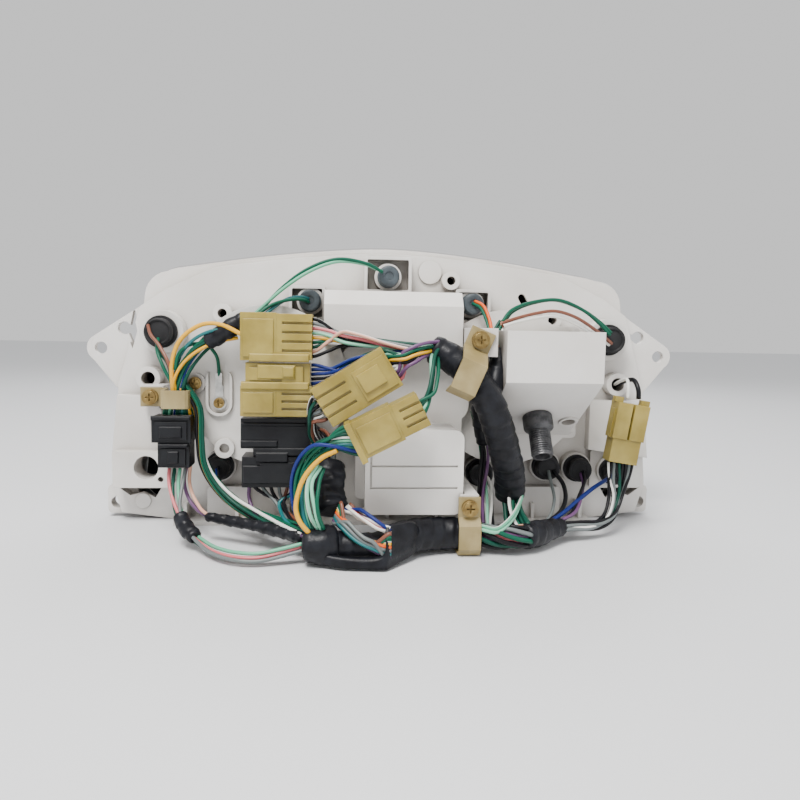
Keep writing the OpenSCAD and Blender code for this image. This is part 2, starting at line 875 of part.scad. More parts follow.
module clamp_upper() {
    color(beige)
        difference() {
            translate([43.2, 0, 112.8])
                rotate([0, 23, 0])
                    translate([0, 0, -1])
                        strap_run(13.4, 1.4, [
                            [-69, 6.5], [-70.6, 6.5], [-70.6, -4], [-84.6, -11], [-84.6, -27],
                            [-76, -30.5], [-76, -29], [-83.2, -26], [-83.2, -11.8], [-69, -4.8]]);
            bar(43.2, 112.8, -75, -60, 1.9);
        }
}

module clamp_lower() {
    color(beige)
        difference() {
            translate([39, 0, 25.6])
                strap_run(11.6, 1.4, [
                    [-75, 5.5], [-76.6, 5.5], [-76.6, -5], [-80.4, -9], [-80.4, -21.4],
                    [-77, -25.2], [-66, -25.2], [-66, -24], [-76.4, -24], [-79, -20.8],
                    [-79, -8.4], [-75, -4.4]]);
            bar(39, 25.6, -80, -70, 1.9);
        }
}

module clamp_left() {
    color(beige)
        difference() {
            union() {
                block(-141.4, -28.6, 71.4, -130, -27, 82.2);
                translate([0, 0, 72])
                    linear_extrude(10)
                        polygon([[-131, -27], [-131, -28.6], [-127.4, -28.6], [-126, -44.4],
                                 [-124.4, -45.6], [-113, -45.6], [-111.4, -44.4], [-110, -34],
                                 [-111.4, -34], [-113, -44.2], [-124.4, -44.2], [-126, -27]]);
            }
            bar(-135.7, 76.8, -30, -26, 1.9);
        }
}

// rubber bulb socket: spigot in the tower, flange on it, body, and the wires' entry
module bulb_socket(x, z, y, spigot_r, flange_r, body_r, body_len) {
    bar(x, z, y, y + 6, spigot_r);
    bar(x, z, y - 2, y, flange_r);
    bar(x, z, y - 2 - body_len, y - 2, body_r);
}

module lamp_sockets() {
    color(rubber) {
        for (p = turn_places)
            bulb_socket(p[0], p[1], -16, 7.6, 9.4, 7.8, 5);
        for (p = lamp_places)
            bulb_socket(p[0], p[1], -11, 6, 8.4, 7, 6);
    }
}

module warning_sockets() {
    color(grey_rubber)
        for (p = warning_places)
            bulb_socket(p[0], p[1], -14, 5, 6.4, 5.6, 8);
}

module wedge_bulb(x, z, y) {
    bar(x, z, y, y + 7, 2.5);
    translate([x, y + 7, z])
        sphere(r = 2.5);
}

module bulbs() {
    color([0.95, 0.95, 0.9, 0.6]) {
        for (p = turn_places)
            wedge_bulb(p[0], p[1], -10);
        for (p = warning_places)
            wedge_bulb(p[0], p[1], -8);
        for (p = lamp_places)
            wedge_bulb(p[0], p[1], -5);
    }
}

// ---------------------------------------------------------------- connectors

// the two mated halves lie along local X and meet at x = 0; the rear of a block is at y = 0
module plug_half(len, h, t, rails) {
    difference() {
        block(-len, 0, -h / 2, 0, t, h / 2);
        block(-len - 1, 2, -h / 2 + 2, -len + 4, t - 2, h / 2 - 2);
    }
    for (i = [0:rails - 1])
        block(-len + 1.5, -0.8, -h / 2 + 2 + i * (h - 4) / rails, -1.5, 0,
              -h / 2 + 0.6 + (i + 1) * (h - 4) / rails);
}

module socket_half(len, h, t, ribs) {
    difference() {
        block(0, 0, -h / 2, len, t, h / 2);
        for (i = [1:ribs - 1])
            block(3, -1, -h / 2 + i * h / ribs - 0.7, len + 1, 1.4, -h / 2 + i * h / ribs + 0.7);
        block(len - 4, 2, -h / 2 + 2, len + 1, t - 2, h / 2 - 2);
    }
}

module at(x, y, z, turn) {
    translate([x, y, z])
        rotate([0, -turn, 0])
            children();
}

module connector_a_plug() {
    color(olive)
        at(-62.5, -62, 112.4, 0)
            plug_half(18.5, 25, block_t, 1);
}

module connector_a_socket() {
    color(olive)
        at(-62.5, -62, 112.4, 0)
            socket_half(18.5, 24, block_t, 5);
}

module connector_b_plug() {
    color(olive)
        at(-62.5, -62, 78.6, 0) {
            plug_half(18.5, 16, block_t, 1);
            block(-16, 1.5, 8, 0, block_t - 1, 20);
            block(-14, 0, 11, -3, 1.5, 17.6);
        }
}

module connector_b_socket() {
    color(olive)
        at(-62.5, -62, 78.6, 0) {
            socket_half(18.5, 16, block_t, 4);
            block(0, 1.5, 8, 17.5, block_t - 1, 20);
            block(3, 0, 10, 14, 1.5, 18.4);
        }
}

module connector_c_plug() {
    color(black)
        at(-63, -56, 50, 0) {
            block(-18.6, 0, 2.5, 18, block_t, 18.6);
            block(-12, 2, -2, 16, block_t - 2, 2.5);
        }
}

module connector_c_socket() {
    color(black)
        at(-63, -56, 50, 0) {
            block(-18, 0, -18.6, 19, block_t, -2);
            block(-8, -1.2, -16, 12, 0, -5);
        }
}

module connector_d_plug() {
    color(olive)
        at(-21, -82, 88, 32)
            mirror([1, 0, 0]) {
                plug_half(21, 22, 13, 1);
                block(-15, -2, -5, -3, -0.8, 5);
            }
}

module connector_d_socket() {
    color(olive)
        at(-21, -82, 88, 32)
            mirror([1, 0, 0])
                socket_half(20, 22, 13, 4);
}

module connector_e_plug() {
    color(olive)
        at(-1, -96, 73, 27) {
            plug_half(21, 19, 12, 1);
            block(-24, -1.5, -11, -21, 13, 10);
        }
}

module connector_e_socket() {
    color(olive)
        at(-1, -96, 73, 27)
            socket_half(14, 17, 12, 4);
}

module connector_f_plug() {
    color(black) {
        block(-131, -45, 53.5, -110, -30, 67.5);
        block(-129, -46.2, 55, -112, -45, 65);
    }
}

module connector_f_socket() {
    color(black) {
        block(-128, -44, 39.5, -111, -31, 53.5);
        block(-126, -45.2, 41, -113, -44, 50);
    }
}

module on_g() {
    translate([137.5, -42, 58])
        rotate([0, 9, 0])
            children();
}

module connector_g_plug() {
    color(olive)
        on_g() {
            for (x = [-9.5, 0.7])
                block(x, 0, -2, x + 8.8, 11, 19);
            block(-10, 3, -2, 10, 9, 15);
            for (x = [-10.5, 5.5])
                block(x, 4, 19, x + 5, 8, 22);
        }
}

module connector_g_socket() {
    color(olive)
        on_g()
            difference() {
                block(-8.5, 0.8, -16, 8.5, 10.4, -2);
                block(-6.5, 2.6, -17, 6.5, 8.4, -12);
            }
}

// ---------------------------------------------------------------- harness

module trunk_upper() {
    color(black)
        swept_tube(trunk_upper_route, trunk_upper_r, tube_sides, [0, 1, 0]);
}

module trunk_lower() {
    color(black)
        swept_tube(trunk_lower_route, trunk_lower_r, tube_sides, [0, 0, 1]);
}

module trunk_stub() {
    color(black)
        swept_tube(trunk_stub_route, trunk_stub_r, tube_sides, [0, 1, 0]);
}

module lead_left_loop() {
    color(wire_green)
        swept_tube(left_loop_route, same(left_loop_route, 3.2), 8, [1, 1, 0]);
}

module lead_top_arc() {
    color(wire_green)
        swept_tube(top_arc_route, same(top_arc_route, 1.8), 8, [0, 1, 0]);
}

module lead_right_arc() {
    color(wire_green)
        swept_tube(right_arc_route, same(right_arc_route, 2), 8, [0, 1, 0]);
}

module lead_left_bundle() {
    color(wire_green)
        swept_tube(left_bundle_route, same(left_bundle_route, 4.6), 10, [0, 1, 0]);
}

// ---------------------------------------------------------------- assembly

rear_housing();
lens_cover();
lens_seal();
front_bezel();
warning_panel();
speedo_dial();
tacho_dial();
temp_dial();
fuel_dial();
speedo_pointer();
tacho_pointer();
temp_pointer();
fuel_pointer();
speedo_movement();
tacho_movement();
temp_movement();
fuel_movement();
drive_shaft();
magnet_spindle();
odo_drum_1();
odo_drum_2();
odo_drum_3();
odo_drum_4();
trip_drum_1();
trip_drum_2();
reset_knob();
cable_nipple();
speedo_gear_cover();
centre_cover();
module_box();
module_lid();
clamp_upper();
clamp_lower();
clamp_left();
screws();
earth_terminal();
lamp_sockets();
warning_sockets();
bulbs();
connector_a_plug();
connector_a_socket();
connector_b_plug();
connector_b_socket();
connector_c_plug();
connector_c_socket();
connector_d_plug();
connector_d_socket();
connector_e_plug();
connector_e_socket();
connector_f_plug();
connector_f_socket();
connector_g_plug();
connector_g_socket();
trunk_upper();
trunk_lower();
trunk_stub();
lead_left_loop();
lead_top_arc();
lead_right_arc();
lead_left_bundle();
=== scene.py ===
"""Motorcycle instrument cluster seen from its wiring side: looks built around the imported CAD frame.

Lengths are in metres; routes are written in millimetres and turned into metres by mm().
X runs across the cluster, +Y points out of the lens and +Z is up.
"""

import math
import random

import bpy
from mathutils import Matrix, Vector, noise


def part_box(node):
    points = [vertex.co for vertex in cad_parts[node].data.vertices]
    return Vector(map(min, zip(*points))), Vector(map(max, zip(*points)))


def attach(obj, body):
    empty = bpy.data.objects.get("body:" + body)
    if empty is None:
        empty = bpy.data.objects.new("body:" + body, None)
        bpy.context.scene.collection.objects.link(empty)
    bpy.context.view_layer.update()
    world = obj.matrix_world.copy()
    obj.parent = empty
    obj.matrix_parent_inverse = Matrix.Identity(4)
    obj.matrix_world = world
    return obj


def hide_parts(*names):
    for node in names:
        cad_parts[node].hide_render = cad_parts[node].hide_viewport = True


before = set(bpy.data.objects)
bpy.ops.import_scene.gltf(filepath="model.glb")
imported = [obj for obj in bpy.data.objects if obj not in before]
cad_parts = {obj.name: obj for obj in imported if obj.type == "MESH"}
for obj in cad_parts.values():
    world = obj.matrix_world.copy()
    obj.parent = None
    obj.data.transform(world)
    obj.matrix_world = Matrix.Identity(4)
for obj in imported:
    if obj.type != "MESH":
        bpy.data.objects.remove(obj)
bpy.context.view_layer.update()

MM = 0.001
WIRE_R = 0.97 * MM
TAPE_PITCH = 7.0 * MM
TAPE_STEP = 0.6 * MM
TAPE_EDGE = 0.93  # share of a turn at which its step falls away
TAPE_END = 1.6 * MM
RING_SIDES = 40
CASE = "case"


def mm(*points):
    """Points written in millimetres, as vectors in metres."""
    return [Vector(p) * MM for p in points]


def link(obj):
    bpy.context.scene.collection.objects.link(obj)
    return obj


# ------------------------------------------------------------------ camera

CAMERA_AT = Vector((-0.0264, -0.4181, 0.1176))
CAMERA_YAW = math.radians(4.64)
CAMERA_DOWN = math.radians(4.85)
CAMERA_ROLL = math.radians(1.13)


def make_camera():
    ahead = Vector((math.sin(CAMERA_YAW) * math.cos(CAMERA_DOWN),
                    math.cos(CAMERA_YAW) * math.cos(CAMERA_DOWN),
                    -math.sin(CAMERA_DOWN)))
    level = Vector((math.cos(CAMERA_YAW), -math.sin(CAMERA_YAW), 0.0))
    up = level.cross(ahead)
    right = math.cos(CAMERA_ROLL) * level + math.sin(CAMERA_ROLL) * up
    top = math.cos(CAMERA_ROLL) * up - math.sin(CAMERA_ROLL) * level
    data = bpy.data.cameras.new("camera")
    data.sensor_width = 36
    data.lens = 30.447
    data.shift_y = -0.016875
    camera = link(bpy.data.objects.new("camera", data))
    turn = Matrix((right, top, -ahead)).transposed().to_4x4()
    camera.matrix_world = Matrix.Translation(CAMERA_AT) @ turn
    bpy.context.scene.camera = camera


make_camera()


# ------------------------------------------------------------------ materials

def nodes_of(material):
    material.use_nodes = True
    tree = material.node_tree
    return tree, tree.nodes["Principled BSDF"]


def plain(name, colour, roughness=0.5, metallic=0.0, alpha=1.0):
    material = bpy.data.materials.new(name)
    shader = nodes_of(material)[1]
    shader.inputs["Base Color"].default_value = (*colour, 1.0)
    shader.inputs["Roughness"].default_value = roughness
    shader.inputs["Metallic"].default_value = metallic
    shader.inputs["Alpha"].default_value = alpha
    material.diffuse_color = (*colour, alpha)
    return material


def add_noise(tree, scale, detail=4.0):
    place = tree.nodes.new("ShaderNodeTexCoord")
    grain = tree.nodes.new("ShaderNodeTexNoise")
    grain.inputs["Scale"].default_value = scale
    grain.inputs["Detail"].default_value = detail
    tree.links.new(place.outputs["Object"], grain.inputs["Vector"])
    return grain


def add_ramp(tree, source, stops):
    ramp = tree.nodes.new("ShaderNodeValToRGB")
    tree.links.new(source, ramp.inputs["Fac"])
    elements = ramp.color_ramp.elements
    while len(elements) < len(stops):
        elements.new(0.5)
    for element, (at, colour) in zip(elements, stops):
        element.position = at
        element.color = (*colour, 1.0)
    return ramp


def add_bump(tree, shader, source, strength, distance, edge=0.0):
    """Bump from a height, over edges that the Bevel node rounds off."""
    normal = None
    if edge:
        round_edge = tree.nodes.new("ShaderNodeBevel")
        round_edge.samples = 4
        round_edge.inputs["Radius"].default_value = edge
        normal = round_edge.outputs["Normal"]
    if source is not None:
        bump = tree.nodes.new("ShaderNodeBump")
        bump.inputs["Strength"].default_value = strength
        bump.inputs["Distance"].default_value = distance
        tree.links.new(source, bump.inputs["Height"])
        if normal is not None:
            tree.links.new(normal, bump.inputs["Normal"])
        normal = bump.outputs["Normal"]
    tree.links.new(normal, shader.inputs["Normal"])


def mottled(name, light, dark, scale, roughness, bump=0.0, edge=0.0, metallic=0.0, grain=600.0):
    """Two close colours mixed in soft patches, with a fine surface grain."""
    material = plain(name, light, roughness, metallic)
    tree, shader = nodes_of(material)
    patches = add_noise(tree, scale)
    ramp = add_ramp(tree, patches.outputs["Fac"], [(0.35, dark), (0.62, light)])
    tree.links.new(ramp.outputs["Color"], shader.inputs["Base Color"])
    height = add_noise(tree, grain, 2.0).outputs["Fac"] if bump else None
    if bump or edge:
        add_bump(tree, shader, height, bump, 0.0004, edge)
    return material


def aged_white():
    """White moulding with faint yellowing, and painted shade that darkens it where surfaces meet."""
    light = (0.72, 0.70, 0.672)
    dull = (0.63, 0.60, 0.56)
    # painted shade: the colour that crevices and gaps between parts are darkened towards
    painted_crevice_shade = (0.27, 0.24, 0.21)
    material = plain("white_plastic_aged_painted_shade", light, 0.42)
    tree, shader = nodes_of(material)
    patches = add_noise(tree, 22.0, 6.0)
    ramp = add_ramp(tree, patches.outputs["Fac"], [(0.30, dull), (0.60, light)])
    # painted shade: ambient occlusion darkens the base colour in crevices, recesses and between parts
    shade = tree.nodes.new("ShaderNodeAmbientOcclusion")
    shade.samples = 6
    shade.inputs["Distance"].default_value = 0.013
    near = add_ramp(tree, shade.outputs["AO"], [(0.12, painted_crevice_shade), (0.72, (1.0, 1.0, 1.0))])
    mix = tree.nodes.new("ShaderNodeMixRGB")
    mix.blend_type = "MULTIPLY"
    mix.inputs["Fac"].default_value = 0.85
    tree.links.new(ramp.outputs["Color"], mix.inputs["Color1"])
    tree.links.new(near.outputs["Color"], mix.inputs["Color2"])
    tree.links.new(mix.outputs["Color"], shader.inputs["Base Color"])
    grain = add_noise(tree, 900.0, 2.0)
    add_bump(tree, shader, grain.outputs["Fac"], 0.12, 0.0003, 0.0005)
    return material


def old_nylon():
    """Yellowed nylon that lets some light in."""
    material = mottled("nylon_natural_aged", (0.36, 0.28, 0.065), (0.24, 0.18, 0.03), 60.0, 0.28,
                       0.08, 0.0004)
    shader = nodes_of(material)[1]
    shader.inputs["Subsurface Weight"].default_value = 0.25
    shader.inputs["Subsurface Radius"].default_value = (1.0, 0.7, 0.25)
    shader.inputs["Subsurface Scale"].default_value = 0.004
    return material


WHITE = aged_white()
NYLON = old_nylon()
BLACK_NYLON = mottled("nylon_black", (0.010, 0.011, 0.013), (0.005, 0.005, 0.007), 80.0, 0.36, 0.1,
                      0.0004)
TAPE = mottled("tape_black", (0.011, 0.012, 0.016), (0.004, 0.004, 0.006), 140.0, 0.40, 0.35,
               grain=900.0)
RUBBER = mottled("rubber_black", (0.022, 0.022, 0.024), (0.012, 0.012, 0.013), 90.0, 0.55, 0.15,
                 0.0004)
GREY_RUBBER = mottled("rubber_grey", (0.055, 0.072, 0.085), (0.025, 0.034, 0.042), 120.0, 0.5, 0.15,
                      0.0004)
STRAP = mottled("strap_beige", (0.33, 0.26, 0.12), (0.25, 0.19, 0.075), 90.0, 0.45, 0.1, 0.0003)
ZINC = mottled("screw_yellow_zinc", (0.34, 0.24, 0.09), (0.20, 0.13, 0.045), 300.0, 0.33,
               metallic=0.9, edge=0.0003)
TIN = mottled("terminal_tin", (0.62, 0.62, 0.60), (0.42, 0.42, 0.40), 300.0, 0.35, metallic=0.9)
STEEL = mottled("movement_steel", (0.52, 0.52, 0.51), (0.40, 0.40, 0.39), 200.0, 0.38, metallic=0.9)
NIPPLE = mottled("nipple_metal", (0.115, 0.115, 0.12), (0.055, 0.055, 0.06), 260.0, 0.42, 0.2,
                 metallic=0.55)
MASK = mottled("mask_black", (0.014, 0.014, 0.015), (0.010, 0.010, 0.011), 60.0, 0.6, 0.1)
DIAL = plain("dial_face", (0.012, 0.012, 0.014), 0.65)
MARK = plain("dial_mark_white", (0.82, 0.82, 0.78), 0.6)
RED_MARK = plain("dial_mark_red", (0.62, 0.03, 0.02), 0.6)
POINTER = plain("pointer_orange", (0.86, 0.16, 0.02), 0.4)
DRUM = plain("drum_white", (0.80, 0.80, 0.76), 0.5)
KNOB = plain("knob_black", (0.02, 0.02, 0.02), 0.35)
PANEL = plain("lamp_window_frame", (0.05, 0.05, 0.05), 0.5)
BULB = plain("bulb_glass", (0.90, 0.90, 0.86), 0.08, alpha=0.45)
LENS = plain("lens_smoked", (0.22, 0.185, 0.165), 0.05, alpha=0.13)
LENS.surface_render_method = "BLENDED"

COLOURS = {
    "green": (0.003, 0.085, 0.048),
    "dark_green": (0.004, 0.055, 0.036),
    "light_green": (0.115, 0.42, 0.26),
    "pale_green": (0.20, 0.52, 0.35),
    "teal": (0.004, 0.12, 0.13),
    "yellow": (0.72, 0.37, 0.01),
    "orange": (0.72, 0.10, 0.006),
    "pink": (0.60, 0.14, 0.16),
    "red": (0.52, 0.02, 0.02),
    "brown": (0.17, 0.055, 0.03),
    "peach": (0.70, 0.38, 0.27),
    "purple": (0.115, 0.045, 0.13),
    "blue": (0.010, 0.022, 0.15),
    "light_blue": (0.10, 0.22, 0.42),
    "white": (0.74, 0.74, 0.70),
    "grey": (0.13, 0.15, 0.15),
    "black": (0.006, 0.006, 0.008),
}
WIRE = {name: plain("wire_" + name, colour, 0.38) for name, colour in COLOURS.items()}

nodes_of(LENS)[1].inputs["Specular IOR Level"].default_value = 0.35
for dull in (TAPE, BLACK_NYLON, RUBBER, WIRE["black"], WIRE["green"], WIRE["dark_green"],
             WIRE["blue"]):
    nodes_of(dull)[1].inputs["Specular IOR Level"].default_value = 0.22

CAD_LOOKS = [
    (("rear_housing", "speedo_gear_cover", "centre_cover", "module_box", "module_lid"), WHITE),
    (("lens_cover",), LENS),
    (("lens_seal", "lamp_sockets"), RUBBER),
    (("warning_sockets",), GREY_RUBBER),
    (("front_bezel",), MASK),
    (("warning_panel",), PANEL),
    (("speedo_dial", "tacho_dial", "temp_dial", "fuel_dial"), DIAL),
    (("speedo_pointer", "tacho_pointer", "temp_pointer", "fuel_pointer"), POINTER),
    (("speedo_movement", "tacho_movement", "temp_movement", "fuel_movement", "drive_shaft",
      "magnet_spindle"), STEEL),
    (("odo_drum_1", "odo_drum_2", "odo_drum_3", "odo_drum_4", "trip_drum_1", "trip_drum_2"), DRUM),
    (("reset_knob",), KNOB),
    (("cable_nipple",), NIPPLE),
    (("clamp_upper", "clamp_lower", "clamp_left"), STRAP),
    (("screws",), ZINC),
    (("earth_terminal",), TIN),
    (("bulbs",), BULB),
    (("trunk_upper", "trunk_lower", "trunk_stub"), TAPE),
    (("lead_left_loop", "lead_top_arc", "lead_right_arc", "lead_left_bundle"), WIRE["green"]),
]


def dress(node, material):
    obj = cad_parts[node]
    if not obj.material_slots:
        obj.data.materials.append(material)
    for place in obj.material_slots:
        place.link = "OBJECT"
        place.material = material


def dress_cad():
    for names, material in CAD_LOOKS:
        for name in names:
            dress(name, material)
    for letter in "abcdefg":
        look = BLACK_NYLON if letter in "cf" else NYLON
        dress(f"connector_{letter}_plug", look)
        dress(f"connector_{letter}_socket", look)


dress_cad()


# ------------------------------------------------------------------ swept shapes

def smooth(points, step=1.5 * MM):
    """A round curve through the points, in steps of about the given length."""
    ends = [points[0] * 2 - points[1]] + list(points) + [points[-1] * 2 - points[-2]]
    curve = []
    for a, b, c, d in zip(ends, ends[1:], ends[2:], ends[3:]):
        count = max(2, round((c - b).length / step))
        for i in range(count):
            t = i / count
            curve.append(0.5 * (2 * b + (c - a) * t + (2 * a - 5 * b + 4 * c - d) * t * t
                                + (3 * b - a - 3 * c + d) * t * t * t))
    return curve + [points[-1].copy()]


def length_of(path):
    return sum((b - a).length for a, b in zip(path, path[1:]))


def frames_along(path):
    """Tangent and two side vectors at each point, without twist."""
    result = []
    side = None
    for i in range(len(path)):
        tangent = (path[min(i + 1, len(path) - 1)] - path[max(i - 1, 0)]).normalized()
        if side is None:
            side = tangent.orthogonal().normalized()
        side = (side - tangent * side.dot(tangent)).normalized()
        result.append((tangent, side, tangent.cross(side)))
    return result


class Shape:
    """Collects faces and their materials for one mesh object."""

    def __init__(self):
        self.points = []
        self.faces = []
        self.looks = []
        self.materials = []

    def look(self, material):
        if material not in self.materials:
            self.materials.append(material)
        return self.materials.index(material)

    def ring_tube(self, rings, looks, caps=True):
        """Joins rings of equal size; looks gives each side's material number."""
        start = len(self.points)
        sides = len(rings[0])
        for ring in rings:
            self.points.extend(ring)
        for i in range(len(rings) - 1):
            for j in range(sides):
                k = (j + 1) % sides
                low = start + i * sides
                self.faces.append((low + j, low + k, low + sides + k, low + sides + j))
                self.looks.append(looks[j])
        if caps:
            last = start + (len(rings) - 1) * sides
            self.faces.append(tuple(start + j for j in reversed(range(sides))))
            self.faces.append(tuple(last + j for j in range(sides)))
            self.looks.extend([looks[0], looks[0]])

    def tube(self, path, radius, sides, material, stripe=None):
        """Round tube; radius is a number or a function of place 0..1 and angle."""
        base = self.look(material)
        looks = [base] * sides
        if stripe is not None:
            looks[0] = self.look(stripe)
            looks[1] = looks[0]
        rings = []
        for i, (p, (_, u, v)) in enumerate(zip(path, frames_along(path))):
            ring = []
            for j in range(sides):
                a = 2 * math.pi * j / sides
                r = radius(i / (len(path) - 1), a) if callable(radius) else radius
                ring.append(p + (math.cos(a) * u + math.sin(a) * v) * r)
            rings.append(ring)
        self.ring_tube(rings, looks)

    def build(self, name, smooth_faces=True):
        data = bpy.data.meshes.new(name)
        data.from_pydata([tuple(p) for p in self.points], [], self.faces)
        for material in self.materials:
            data.materials.append(material)
        for face, look in zip(data.polygons, self.looks):
            face.material_index = look
            face.use_smooth = smooth_faces and len(face.vertices) == 4
        data.update()
        return link(bpy.data.objects.new(name, data))


def packed_places(count, wire_r):
    """Places of wires lying side by side in a round bundle."""
    places = [(0.0, 0.0)]
    ring = 1
    while len(places) < count:
        room = 6 * ring
        here = min(room, count - len(places))
        for i in range(here):
            a = 2 * math.pi * i / here + 0.4 * ring
            places.append((2.05 * wire_r * ring * math.cos(a), 2.05 * wire_r * ring * math.sin(a)))
        ring += 1
    if count == 2:
        return [(-wire_r, 0.0), (wire_r, 0.0)]
    return places[:count]


def ease(t):
    t = min(1.0, max(0.0, t))
    return t * t * (3 - 2 * t)


def bundle(name, route, colours, start_row=None, end_row=None, twist=0.6, loose=0.5, wire_r=WIRE_R,
           slot="wire_green"):
    """Wires side by side along a route. A row is the step between wires as they enter a block."""
    path = smooth(route)
    sides = frames_along(path)
    places = packed_places(len(colours), wire_r)
    chance = random.Random(name)
    shape = Shape()
    middle = (len(colours) - 1) / 2
    reach = 0.30
    for i, colour in enumerate(colours):
        main, _, stripe = colour.partition("/")
        lift = [chance.uniform(-loose, loose) * MM for _ in range(4)]
        wire_path = []
        for k, (p, (_, u, v)) in enumerate(zip(path, sides)):
            t = k / (len(path) - 1)
            a = twist * 2 * math.pi * t
            x, y = places[i]
            wave = math.sin(math.pi * t)
            x, y = x * math.cos(a) - y * math.sin(a), x * math.sin(a) + y * math.cos(a)
            x += wave * (lift[0] + lift[1] * math.sin(2 * math.pi * t))
            y += wave * (lift[2] + lift[3] * math.sin(2 * math.pi * t))
            away = u * x + v * y
            if start_row is not None:
                away = away.lerp(Vector(start_row) * MM * (i - middle), 1 - ease(t / reach))
            if end_row is not None:
                away = away.lerp(Vector(end_row) * MM * (i - middle), ease((t - 1 + reach) / reach))
            wire_path.append(p + away)
        shape.tube(wire_path, wire_r, 10, WIRE[main], WIRE[stripe] if stripe else None)
    piece = shape.build(name)
    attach(piece, CASE)
    return piece, path


def free_bundle(name, route, colours, **options):
    """A bundle that only its two ends hold.
    """
    piece, path = bundle(name, route, colours, **options)
    return piece


def taped(name, route, radii, lump=0.35 * MM):
    """Bundle wrapped in tape: each turn overlaps the one before it and leaves a small step."""
    path = smooth(route, 0.9 * MM)
    whole = length_of(path)
    seed = Vector((len(name), radii[0] * 1000, 0.0))

    def radius(t, a):
        at = t * (len(radii) - 1)
        i = min(int(at), len(radii) - 2)
        base = radii[i] + (radii[i + 1] - radii[i]) * ease(at - i)
        turn = (t * whole / TAPE_PITCH + a / (2 * math.pi)) % 1.0
        step = TAPE_STEP * (turn if turn < TAPE_EDGE else (1 - turn) / (1 - TAPE_EDGE))
        where = Vector((math.cos(a) * 1.3, math.sin(a) * 1.3, t * whole * 110)) + seed
        wrinkle = lump * noise.noise(where) + 0.3 * lump * noise.noise(where * 3.1)
        close = min(1.0, t * whole / TAPE_END, (1 - t) * whole / TAPE_END)
        return (base + step + wrinkle) * (0.72 + 0.28 * math.sqrt(max(close, 0.0)))

    shape = Shape()
    shape.tube(path, radius, 32, TAPE)
    piece = shape.build(name)
    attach(piece, CASE)
    return piece


# ------------------------------------------------------------------ leads that the CAD holds too

LEFT_LOOP = mm((-119, -38, 38), (-119, -42, 29), (-116, -50, 19), (-109, -60, 10), (-97, -73, 5),
               (-87, -83, 4.2), (-77, -88.5, 4.2), (-68, -89.5, 4.4), (-59, -88.5, 6),
               (-45.5, -87, 9.4))
TOP_ARC = mm((-84, -36, 116), (-74, -34, 127), (-62, -33, 139), (-48, -32, 149), (-32, -31, 155),
             (-16, -29, 154), (-6, -27, 150))
RIGHT_ARC = mm((60, -48, 122), (66, -44, 129), (78, -40, 134), (94, -36, 136), (110, -32, 131),
               (122, -28, 124), (130, -27, 117))
LEFT_BUNDLE = mm((-86, -42, 115), (-97, -41, 112), (-108, -40, 104), (-115, -39, 94),
                 (-118, -38, 82), (-119, -38, 68))
TRUNK_UPPER = mm((18, -66, 108), (26, -68, 104.5), (36, -71, 97), (42, -73, 89.5),
                 (47.5, -74, 81.5), (52.5, -72, 71), (59, -65, 54), (64, -57, 41), (67, -49, 25))
TRUNK_STUB = mm((-33, -60, 46), (-34, -64, 40), (-34, -68, 34), (-33, -73, 28), (-32, -77, 24))

left_loop = free_bundle("wires_left_loop", LEFT_LOOP, ["pink", "dark_green", "light_green", "grey"],
                        start_row=(2.9, 0, 0), twist=0.5)
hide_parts("lead_left_loop")
top_arc = free_bundle("wires_top_arc", TOP_ARC, ["light_green", "green"], twist=0.7)
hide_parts("lead_top_arc")
right_arc = free_bundle("wires_right_arc", RIGHT_ARC, ["green", "green/pale_green"], twist=0.4)
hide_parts("lead_right_arc")
left_bundle = bundle("wires_left_bundle", LEFT_BUNDLE,
                     ["green", "green", "light_green", "dark_green", "white/blue", "green",
                      "dark_green", "teal", "green", "dark_green", "yellow"],
                     end_row=(1.4, 0, 0), twist=0.5, loose=0.8)[0]
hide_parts("lead_left_bundle")

trunk_upper = taped("tape_trunk_upper", TRUNK_UPPER, [7.2 * MM, 7.8 * MM, 8 * MM, 8.2 * MM, 8 * MM],
                    lump=0.5 * MM)
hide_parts("trunk_upper")
taped("tape_trunk_left", mm((-46, -87, 9.8), (-37, -88, 10.2), (-29, -87, 10.5)),
      [8.4 * MM, 9.4 * MM, 8.0 * MM], lump=1.4 * MM)
taped("tape_trunk_core", mm((-33, -86.5, 9.5), (-22, -86.5, 9), (-10, -86, 9), (0, -81, 9.6)),
      [7 * MM, 6.2 * MM, 6.4 * MM, 7 * MM])
trunk_middle = taped("tape_trunk_middle", mm((-4, -84, 10.2), (9, -75, 10.2), (24, -69.8, 10),
                                             (35, -69.5, 10), (43.5, -70, 10)),
                     [7.2 * MM, 8.6 * MM, 8.4 * MM, 8.2 * MM, 7.4 * MM], lump=0.6 * MM)
taped("tape_trunk_right", mm((69, -73.5, 9.2), (80, -65, 8.8), (92, -56.5, 8.8), (97, -54, 9)),
      [6.4 * MM, 6.8 * MM, 5.4 * MM, 4.2 * MM], lump=0.5 * MM)
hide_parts("trunk_lower")
trunk_stub = taped("tape_trunk_stub", TRUNK_STUB, [7.4 * MM, 8 * MM, 7.4 * MM, 7.8 * MM],
                   lump=1.5 * MM)
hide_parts("trunk_stub")


# ------------------------------------------------------------------ other taped lengths

